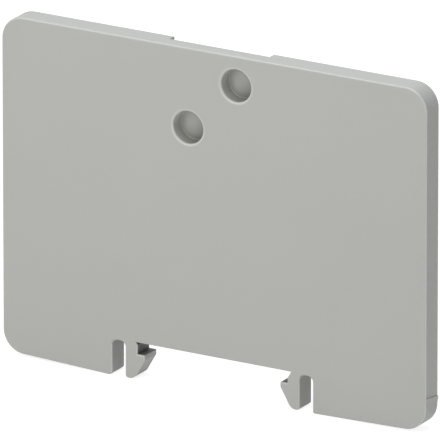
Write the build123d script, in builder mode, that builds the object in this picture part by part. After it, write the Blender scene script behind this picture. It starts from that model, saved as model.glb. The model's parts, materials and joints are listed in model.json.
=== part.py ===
from build123d import *
import os

os.makedirs("parts", exist_ok=True)

# End cover of a row of terminal blocks: one moulded plate with two snap feet.
# Sizes are in millimetres. X runs along the plate, Z up, and -Y is the front.
# The origin is on the edge that sits on the mounting rail, over the rail's middle.

# Mounting rail that the feet clip onto
rail_width = 15.0
rail_edge_thickness = 1.0
rail_side_play = 0.05
rail_edge_play = 0.1

# Plate, which reaches a little further to the right of the rail's middle
plate_left_reach = 21.15
plate_right_reach = 21.35
plate_height = 28.0
plate_thickness = 2.2
corner_radius = 2.1
front_edge_radius = 0.15
back_edge_chamfer = 0.06

# Shoulders beside the feet, which reach down past the rail's edges and rise outward
shoulder_drop = 3.45
left_shoulder_rise = 0.45
right_shoulder_rise = 0.25
left_shoulder_radius = 0.35
right_shoulder_radius = 0.18

# Snap feet: a springy leg with a hook on its inner side
foot_drop = 3.42
foot_width = 1.2
foot_slot_width = 1.35
foot_slot_drop = 0.1
foot_slot_radius = 0.5
hook_reach = 0.72
hook_nose = 0.45
hook_nose_radius = 0.08
toe_width = 0.84
toe_outer_radius = 0.28
toe_flank_radius = 0.75

# Undercut at the root of each hook, wider on the right foot
left_undercut_width = 0.15
left_undercut_height = 0.25
right_undercut_width = 0.35
right_undercut_height = 0.6

# Step in the right side at rail level, where the shoulder stands slightly proud
step_reach = 0.1
step_front_drop = 0.15
step_back_drop = 0.42

# Blind recesses in the front, for the pegs of the neighbouring block
recess_diameter = 3.0
recess_depth = 1.4
recess_rim_radius = 0.15
recess_floor_radius = 0.1
recess_offset = 2.4
right_recess_below_top = 2.7
left_recess_below_top = 7.3

# Shallow gap in the back of the top edge
back_gap_length = 10.0
back_gap_depth = 0.8
back_gap_height = 0.8

# Places worked out from the sizes
front_y = -plate_thickness / 2
back_y = plate_thickness / 2
corner_start = right_shoulder_rise - shoulder_drop + corner_radius
hook_wall = rail_width / 2 + rail_side_play
hook_top = rail_edge_thickness + rail_edge_play
hook_tip = hook_wall - hook_reach
nose_bottom = hook_top + hook_nose
slot_inner = hook_wall + foot_width
slot_outer = slot_inner + foot_slot_width


def xz_plane(y):
    # Upright plane that faces the front, at a distance along Y
    return Plane.XZ.offset(-y)


def half_outline(side, reach, shoulder_rise, shoulder_radius, undercut_width, undercut_height):
    # From above the rail's middle round to the rail's middle.
    # Each corner is its distance from the middle, its height and its radius.
    corners = (
        (reach, plate_height, corner_radius),
        (reach, shoulder_rise - shoulder_drop, corner_radius),
        (slot_outer, -shoulder_drop, shoulder_radius),
        (slot_outer, -foot_slot_drop, foot_slot_radius),
        (slot_inner, -foot_slot_drop, foot_slot_radius),
        (slot_inner, -foot_drop, toe_outer_radius),
        (slot_inner - toe_width, -foot_drop, toe_flank_radius),
        (hook_tip, -nose_bottom, hook_nose_radius),
        (hook_tip, -hook_top, hook_nose_radius),
        (hook_wall, -hook_top, 0),
        (hook_wall, -undercut_height, 0),
        (hook_wall + undercut_width, 0, 0),
    )
    FilletPolyline(
        (0, plate_height),
        *[(side * distance, height) for distance, height, radius in corners],
        (0, 0),
        radius=[radius for distance, height, radius in corners],
    )


def recess_circles():
    # Closed edges of the recesses, from the front face to their floors
    return end_cover.edges().filter_by(lambda edge: edge.is_closed).group_by(Axis.Y)


with BuildPart() as end_cover:
    # Plate with its shoulders and feet, all in one outline
    with BuildSketch(xz_plane(front_y)):
        with BuildLine():
            half_outline(
                -1,
                plate_left_reach,
                left_shoulder_rise,
                left_shoulder_radius,
                left_undercut_width,
                left_undercut_height,
            )
            half_outline(
                1,
                plate_right_reach,
                right_shoulder_rise,
                right_shoulder_radius,
                right_undercut_width,
                right_undercut_height,
            )
        make_face()
    extrude(amount=-plate_thickness)
    fillet(end_cover.faces().sort_by(Axis.Y)[0].edges(), front_edge_radius)
    chamfer(end_cover.faces().sort_by(Axis.Y)[-1].edges(), back_edge_chamfer)

    # Step in the right side: a thin wedge that runs out where the corner starts
    for y, ledge_drop in (
        (front_y + front_edge_radius, step_front_drop),
        (back_y - back_edge_chamfer, step_back_drop),
    ):
        with BuildSketch(xz_plane(y)):
            Polygon(
                (plate_right_reach, -ledge_drop),
                (plate_right_reach + step_reach, -ledge_drop),
                (plate_right_reach, corner_start),
                align=None,
            )
    loft()

    # Recesses with a rounded rim and a rounded floor edge
    with Locations(xz_plane(front_y)):
        with Locations(
            (recess_offset, plate_height - right_recess_below_top),
            (-recess_offset, plate_height - left_recess_below_top),
        ):
            Hole(recess_diameter / 2, recess_depth)
    fillet(recess_circles()[-1], recess_floor_radius)
    fillet(recess_circles()[0], recess_rim_radius)

    # Gap in the back of the top edge
    with BuildSketch(xz_plane(back_y)):
        with Locations((0, plate_height)):
            Rectangle(back_gap_length, back_gap_height, align=(Align.CENTER, Align.MAX))
    extrude(amount=back_gap_depth, mode=Mode.SUBTRACT)

end_cover.part.label = "end_cover"
export_step(end_cover.part, "parts/end_cover.step")
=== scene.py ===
import json
from math import cos, radians, sin, sqrt

import bpy
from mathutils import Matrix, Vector


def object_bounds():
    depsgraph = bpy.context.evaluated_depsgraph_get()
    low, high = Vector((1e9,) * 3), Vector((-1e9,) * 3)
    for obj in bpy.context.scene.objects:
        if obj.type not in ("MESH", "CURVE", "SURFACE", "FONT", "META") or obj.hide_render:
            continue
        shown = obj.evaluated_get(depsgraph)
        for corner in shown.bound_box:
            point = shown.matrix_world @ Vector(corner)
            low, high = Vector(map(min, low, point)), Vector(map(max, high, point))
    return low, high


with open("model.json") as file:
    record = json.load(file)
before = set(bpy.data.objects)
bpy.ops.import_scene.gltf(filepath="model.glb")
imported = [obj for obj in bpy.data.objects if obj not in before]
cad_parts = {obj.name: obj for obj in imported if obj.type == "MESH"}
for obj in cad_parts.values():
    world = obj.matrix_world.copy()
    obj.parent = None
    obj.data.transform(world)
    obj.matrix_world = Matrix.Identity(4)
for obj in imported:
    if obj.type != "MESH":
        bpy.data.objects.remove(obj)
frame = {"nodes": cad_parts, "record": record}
cadLow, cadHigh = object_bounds()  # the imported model's box, before anything is added
mm = 0.001
print("frame loaded:", ", ".join(frame["nodes"]))


def towards(azimuth, elevation):
    # direction from the cover to a camera or lamp, azimuth 0 being straight in front
    turn, lift = radians(azimuth), radians(elevation)
    return Vector((sin(turn) * cos(lift), -cos(turn) * cos(lift), sin(lift)))


def placeAt(thing, azimuth, elevation, distance, aim):
    # stands off from the aim point and looks back at it
    away = towards(azimuth, elevation)
    thing.location = Vector(aim) + away * distance
    thing.rotation_euler = (-away).to_track_quat("-Z", "Y").to_euler()
    bpy.context.scene.collection.objects.link(thing)


# camera, a long lens from the right and a little above
camera = {
    "azimuth": 29.9,
    "elevation": 18.9,
    "distance": 1.5,
    "aim": (0.83 * mm, -1.1 * mm, 12.78 * mm),
    "frameWidth": 38.25 * mm,  # width of the picture at the cover
    "sensorWidth": 36.0,
}


def makeCamera():
    lens = bpy.data.cameras.new("productCamera")
    lens.sensor_width = camera["sensorWidth"]
    lens.lens = camera["sensorWidth"] * camera["distance"] / camera["frameWidth"]
    holder = bpy.data.objects.new("productCamera", lens)
    placeAt(holder, camera["azimuth"], camera["elevation"], camera["distance"], camera["aim"])
    bpy.context.scene.camera = holder


makeCamera()
print("camera set")


def addNode(tree, kind, **settings):
    # new shader node; a setting is a property of the node or the value of one of its inputs
    node = tree.nodes.new(kind)
    for name, value in settings.items():
        if hasattr(node, name):
            setattr(node, name, value)
        else:
            node.inputs[name.replace("_", " ")].default_value = value
    return node


def newMaterial(name):
    material = bpy.data.materials.new(name)
    material.use_nodes = True
    material.node_tree.nodes.clear()
    return material, material.node_tree


def calc(tree, operation, first, second=0.0, clamp=False):
    # math node fed by sockets or plain numbers, gives its output socket
    node = addNode(tree, "ShaderNodeMath", operation=operation, use_clamp=clamp)
    for socket, value in zip(node.inputs, (first, second)):
        if isinstance(value, bpy.types.NodeSocket):
            tree.links.new(value, socket)
        else:
            socket.default_value = value
    return node.outputs[0]


def noise(tree, coordinates, size, detail=2.0):
    # noise from 0 to 1 whose lumps are about as large as size, in metres
    node = addNode(tree, "ShaderNodeTexNoise", Scale=1.0 / size, Detail=detail)
    tree.links.new(coordinates, node.inputs["Vector"])
    return node.outputs["Fac"]


# moulded light grey plastic
plastic = {
    "colour": (0.471, 0.468, 0.452, 1.0),
    "highlightColour": (0.72, 0.725, 0.70, 1.0),  # painted highlight on the front edges and recess rims
    "edgeAmount": 0.32,
    "edgeRightward": 3.2,  # how much more painted highlight along the right side and the lower right corner
    "rimAmount": 0.5,
    "rimOffset": 0.085 * mm,  # from a recess's wall out to the middle of its rim
    "rimSpread": 0.17 * mm,
    "highlightPlane": -0.9 * mm,  # what lies in front of this plane gets the painted highlight
    "cloudSize": 9 * mm,
    "cloudAmount": 0.05,
    "speckSize": 0.25 * mm,
    "speckAmount": 0.03,
    "roughness": 0.52,
    "roughnessSpread": 0.12,
    "grainSize": 0.12 * mm,
    "grainHeight": 0.006 * mm,
}


def distanceFrom(tree, here, x, z):
    # how far a point of the surface lies from a line along Y
    flat = addNode(tree, "ShaderNodeVectorMath", operation="MULTIPLY")
    flat.inputs[1].default_value = (1.0, 0.0, 1.0)
    tree.links.new(here, flat.inputs[0])
    reach = addNode(tree, "ShaderNodeVectorMath", operation="DISTANCE")
    reach.inputs[1].default_value = (x, 0.0, z)
    tree.links.new(flat.outputs["Vector"], reach.inputs[0])
    return reach.outputs["Value"]


def rimMask(tree, here, mount):
    # painted highlight: 1 along the rim of a round recess, fading out to each side of it
    x, _, z = mount["pos_m"]
    middle = mount["dims"]["r_mm"] * mm + plastic["rimOffset"]
    off = calc(tree, "ABSOLUTE", calc(tree, "SUBTRACT", distanceFrom(tree, here, x, z), middle))
    return calc(tree, "SUBTRACT", 1.0, calc(tree, "DIVIDE", off, plastic["rimSpread"]), clamp=True)


# hollows: shade where walls stand close together, inside the hooks and in the recesses
hollows = {
    "reach": 1.3 * mm,  # walls closer than this make a hollow
    "samples": 8,
    "openShare": 0.62,  # share of open sky from which a surface isn't shaded
    "closedShare": 0.2,  # and at which it is shaded fully
    "closedShade": 0.1,  # to this much of its colour
    "blur": 0.1 * mm,
    "notchSides": (6.9 * mm, 7.95 * mm),  # where the hooks close round the rail's edges
    "notchHeights": (-1.12 * mm, 0.05 * mm),
    "notchFront": -0.85 * mm,
    "leftNotchShade": 0.28,
    "rightNotchShade": 0.16,
    "recessWalls": (-0.85 * mm, 0.4 * mm),  # from a recess's rim to its floor
    "recessSlack": 0.05 * mm,
    "recessSoftness": 0.4,  # the recesses' own shade is this much weaker
    "recessUpperLeft": 1.45,  # painted light at their upper left, sloping to painted shade at their lower right
    "recessLowerRight": 0.42,
}


def between(tree, value, low, high, blur):
    # 1 from low to high, fading out past both ends
    rise = calc(tree, "DIVIDE", calc(tree, "SUBTRACT", value, low - blur), blur, clamp=True)
    fall = calc(tree, "DIVIDE", calc(tree, "SUBTRACT", high + blur, value), blur, clamp=True)
    return calc(tree, "MULTIPLY", rise, fall)


def openShade(tree):
    # 1 on open surfaces, less in hollows
    openness = addNode(
        tree,
        "ShaderNodeAmbientOcclusion",
        samples=hollows["samples"],
        only_local=True,
        Distance=hollows["reach"],
    )
    shade = addNode(
        tree,
        "ShaderNodeMapRange",
        From_Min=hollows["closedShare"],
        From_Max=hollows["openShare"],
        To_Min=hollows["closedShade"],
    )
    tree.links.new(openness.outputs["AO"], shade.inputs["Value"])
    return shade.outputs["Result"]


def notchShade(tree, placeParts, facing):
    # 1, and less on the walls inside the hooks
    blur = hollows["blur"]
    aside = calc(tree, "ABSOLUTE", placeParts.outputs["X"])
    mask = calc(
        tree,
        "MULTIPLY",
        between(tree, aside, *hollows["notchSides"], blur),
        between(tree, placeParts.outputs["Z"], *hollows["notchHeights"], blur),
    )
    behind = between(tree, placeParts.outputs["Y"], hollows["notchFront"], cadHigh.y, blur)
    walls = calc(tree, "SUBTRACT", 1.0, facing, clamp=True)
    mask = calc(tree, "MULTIPLY", mask, calc(tree, "MULTIPLY", behind, walls))
    onRight = calc(tree, "GREATER_THAN", placeParts.outputs["X"], 0.0)
    darker = hollows["leftNotchShade"] - hollows["rightNotchShade"]
    taken = calc(tree, "ADD", calc(tree, "MULTIPLY", onRight, darker), 1.0 - hollows["leftNotchShade"])
    return calc(tree, "SUBTRACT", 1.0, calc(tree, "MULTIPLY", mask, taken))


def recessShade(tree, here, placeParts, mount, shade):
    # the shade as it is, and inside a recess softer, with painted light at the upper left sloping to
    # painted shade at the lower right
    x, _, z = mount["pos_m"]
    radius = mount["dims"]["r_mm"] * mm
    near = calc(tree, "LESS_THAN", distanceFrom(tree, here, x, z), radius + hollows["recessSlack"])
    deep = between(tree, placeParts.outputs["Y"], *hollows["recessWalls"], hollows["blur"])
    inside = calc(tree, "MULTIPLY", near, deep)

    missing = calc(tree, "MULTIPLY", calc(tree, "SUBTRACT", 1.0, shade), 1.0 - hollows["recessSoftness"])
    across = calc(tree, "SUBTRACT", placeParts.outputs["X"], placeParts.outputs["Z"])
    slope = addNode(
        tree,
        "ShaderNodeMapRange",
        From_Min=x - z - radius * sqrt(2),
        From_Max=x - z + radius * sqrt(2),
        To_Min=hollows["recessUpperLeft"],
        To_Max=hollows["recessLowerRight"],
    )
    tree.links.new(across, slope.inputs["Value"])
    own = calc(tree, "MULTIPLY", calc(tree, "SUBTRACT", 1.0, missing), slope.outputs["Result"])

    chosen = addNode(tree, "ShaderNodeMix")
    tree.links.new(inside, chosen.inputs["Factor"])
    tree.links.new(shade, chosen.inputs["A"])
    tree.links.new(own, chosen.inputs["B"])
    return chosen.outputs["Result"]


def makePlastic():
    material, tree = newMaterial("coverPlastic")
    place = addNode(tree, "ShaderNodeTexCoord")
    here = place.outputs["Object"]

    # colour: faint clouds and specks of pigment
    cloud = noise(tree, here, plastic["cloudSize"])
    speck = noise(tree, here, plastic["speckSize"])
    cloudShade = calc(tree, "MULTIPLY", calc(tree, "SUBTRACT", cloud, 0.5), plastic["cloudAmount"])
    speckShade = calc(tree, "MULTIPLY", calc(tree, "SUBTRACT", speck, 0.5), plastic["speckAmount"])
    brightness = calc(tree, "ADD", calc(tree, "ADD", cloudShade, speckShade), 1.0)
    tone = addNode(tree, "ShaderNodeHueSaturation", Color=plastic["colour"])
    tree.links.new(brightness, tone.inputs["Value"])

    # painted highlight on edges and rims: most where the surface is half way from the front face to a
    # wall
    normalParts = addNode(tree, "ShaderNodeSeparateXYZ")
    tree.links.new(place.outputs["Normal"], normalParts.inputs[0])
    placeParts = addNode(tree, "ShaderNodeSeparateXYZ")
    tree.links.new(here, placeParts.inputs[0])
    facing = calc(tree, "ABSOLUTE", normalParts.outputs["Y"])
    turning = calc(tree, "MULTIPLY", calc(tree, "SUBTRACT", 1.0, facing), facing)
    halfTurn = 0.25  # what turning comes to at its highest
    right = calc(tree, "MAXIMUM", normalParts.outputs["X"], 0.0)
    lowerRight = calc(tree, "SUBTRACT", right, normalParts.outputs["Z"], clamp=True)
    more = calc(tree, "MULTIPLY", calc(tree, "MULTIPLY", right, lowerRight), plastic["edgeRightward"])
    turning = calc(tree, "MULTIPLY", turning, calc(tree, "ADD", more, 1.0))
    mask = calc(tree, "MULTIPLY", turning, plastic["edgeAmount"] / halfTurn, clamp=True)
    recesses = [mount for mount in frame["record"]["mounts"] if mount["kind"] == "bore"]
    for mount in recesses:
        rim = calc(tree, "MULTIPLY", rimMask(tree, here, mount), plastic["rimAmount"])
        mask = calc(tree, "MAXIMUM", mask, rim)
    inFront = calc(tree, "LESS_THAN", placeParts.outputs["Y"], plastic["highlightPlane"])
    paintedHighlight = addNode(tree, "ShaderNodeMix", data_type="RGBA")
    paintedHighlight.inputs["B"].default_value = plastic["highlightColour"]
    tree.links.new(calc(tree, "MULTIPLY", mask, inFront), paintedHighlight.inputs["Factor"])
    tree.links.new(tone.outputs["Color"], paintedHighlight.inputs["A"])

    # hollows
    shade = openShade(tree)
    for mount in recesses:
        shade = recessShade(tree, here, placeParts, mount, shade)
    shade = calc(tree, "MULTIPLY", shade, notchShade(tree, placeParts, facing))
    shaded = addNode(tree, "ShaderNodeHueSaturation")
    tree.links.new(shade, shaded.inputs["Value"])
    tree.links.new(paintedHighlight.outputs["Result"], shaded.inputs["Color"])

    # surface: uneven gloss and the fine grain of the mould
    gloss = calc(tree, "MULTIPLY", calc(tree, "SUBTRACT", cloud, 0.5), plastic["roughnessSpread"])
    grain = noise(tree, here, plastic["grainSize"], detail=3.0)
    bump = addNode(tree, "ShaderNodeBump", Distance=plastic["grainHeight"])
    tree.links.new(grain, bump.inputs["Height"])

    shader = addNode(tree, "ShaderNodeBsdfPrincipled")
    tree.links.new(shaded.outputs["Color"], shader.inputs["Base Color"])
    tree.links.new(calc(tree, "ADD", gloss, plastic["roughness"]), shader.inputs["Roughness"])
    tree.links.new(bump.outputs["Normal"], shader.inputs["Normal"])
    output = addNode(tree, "ShaderNodeOutputMaterial")
    tree.links.new(shader.outputs[0], output.inputs["Surface"])
    return material


cover = frame["nodes"]["end_cover"]
cover.material_slots[0].material = makePlastic()
print("cover finished in", cover.material_slots[0].material.name)


# studio: white floor and sky, a soft key lamp at the front left, a cooler one overhead
# and a small one behind, no higher than the plate
studio = {
    "floorSize": 6.0,
    "floorColour": (0.8, 0.8, 0.8, 1.0),
    "shadowShare": 0.35,  # how much of the floor's own light and shadow the camera sees
    "floorGlow": 0.85,  # plain white that the camera sees on top of it
    "skyStrength": 0.302,
    "skyShown": 1.0,
}
lamps = {
    "keyLamp": {
        "azimuth": -10, "elevation": 41, "distance": 0.18, "size": 0.12, "power": 0.159,
        "colour": (0.992, 1.0, 0.933),
    },
    "topLamp": {
        "azimuth": 70, "elevation": 84, "distance": 0.25, "size": 0.15, "power": 0.319,
        "colour": (0.9, 0.962, 1.0),
    },
    "backLamp": {
        "azimuth": -165, "elevation": 0, "distance": 0.3, "size": 0.028, "power": 0.3,
        "colour": (1.0, 1.0, 0.95),
    },
}


def seenDirectly(tree):
    # 1 for what the camera sees, straight or in gloss or glass
    path = addNode(tree, "ShaderNodeLightPath")
    seen = calc(tree, "ADD", path.outputs["Is Camera Ray"], path.outputs["Is Glossy Ray"])
    return calc(tree, "ADD", seen, path.outputs["Is Transmission Ray"], clamp=True)


def makeFloor():
    half = studio["floorSize"] / 2
    level = cadLow.z
    mesh = bpy.data.meshes.new("floor")
    corners = [(-half, -half, level), (half, -half, level), (half, half, level), (-half, half, level)]
    mesh.from_pydata(corners, [], [(0, 1, 2, 3)])
    floor = bpy.data.objects.new("floor", mesh)
    bpy.context.scene.collection.objects.link(floor)

    material, tree = newMaterial("floorPaper")
    plain = addNode(tree, "ShaderNodeBsdfDiffuse", Color=studio["floorColour"])
    share = studio["shadowShare"]
    shadowed = addNode(tree, "ShaderNodeBsdfDiffuse", Color=(share, share, share, 1.0))
    glow = addNode(tree, "ShaderNodeEmission", Strength=studio["floorGlow"])
    shown = addNode(tree, "ShaderNodeAddShader")
    tree.links.new(shadowed.outputs[0], shown.inputs[0])
    tree.links.new(glow.outputs[0], shown.inputs[1])
    choose = addNode(tree, "ShaderNodeMixShader")
    tree.links.new(seenDirectly(tree), choose.inputs[0])
    tree.links.new(plain.outputs[0], choose.inputs[1])
    tree.links.new(shown.outputs[0], choose.inputs[2])
    output = addNode(tree, "ShaderNodeOutputMaterial")
    tree.links.new(choose.outputs[0], output.inputs["Surface"])
    mesh.materials.append(material)


def makeSky():
    world = bpy.data.worlds.new("studioSky")
    world.use_nodes = True
    tree = world.node_tree
    tree.nodes.clear()
    light = addNode(tree, "ShaderNodeBackground", Strength=studio["skyStrength"])
    white = addNode(tree, "ShaderNodeBackground", Strength=studio["skyShown"])
    for sky in (light, white):
        sky.inputs["Color"].default_value = (1.0, 1.0, 1.0, 1.0)
    choose = addNode(tree, "ShaderNodeMixShader")
    tree.links.new(seenDirectly(tree), choose.inputs[0])
    tree.links.new(light.outputs[0], choose.inputs[1])
    tree.links.new(white.outputs[0], choose.inputs[2])
    output = addNode(tree, "ShaderNodeOutputWorld")
    tree.links.new(choose.outputs[0], output.inputs["Surface"])
    bpy.context.scene.world = world


def makeLamps():
    middle = (cadLow + cadHigh) / 2
    for name, lamp in lamps.items():
        light = bpy.data.lights.new(name, "AREA")
        light.size = lamp["size"]
        light.energy = lamp["power"]
        light.color = lamp["colour"]
        holder = bpy.data.objects.new(name, light)
        holder.visible_camera = False
        placeAt(holder, lamp["azimuth"], lamp["elevation"], lamp["distance"], middle)


makeFloor()
makeSky()
makeLamps()
bpy.context.scene.view_settings.view_transform = "Standard"
print("studio lit by", ", ".join(lamps))
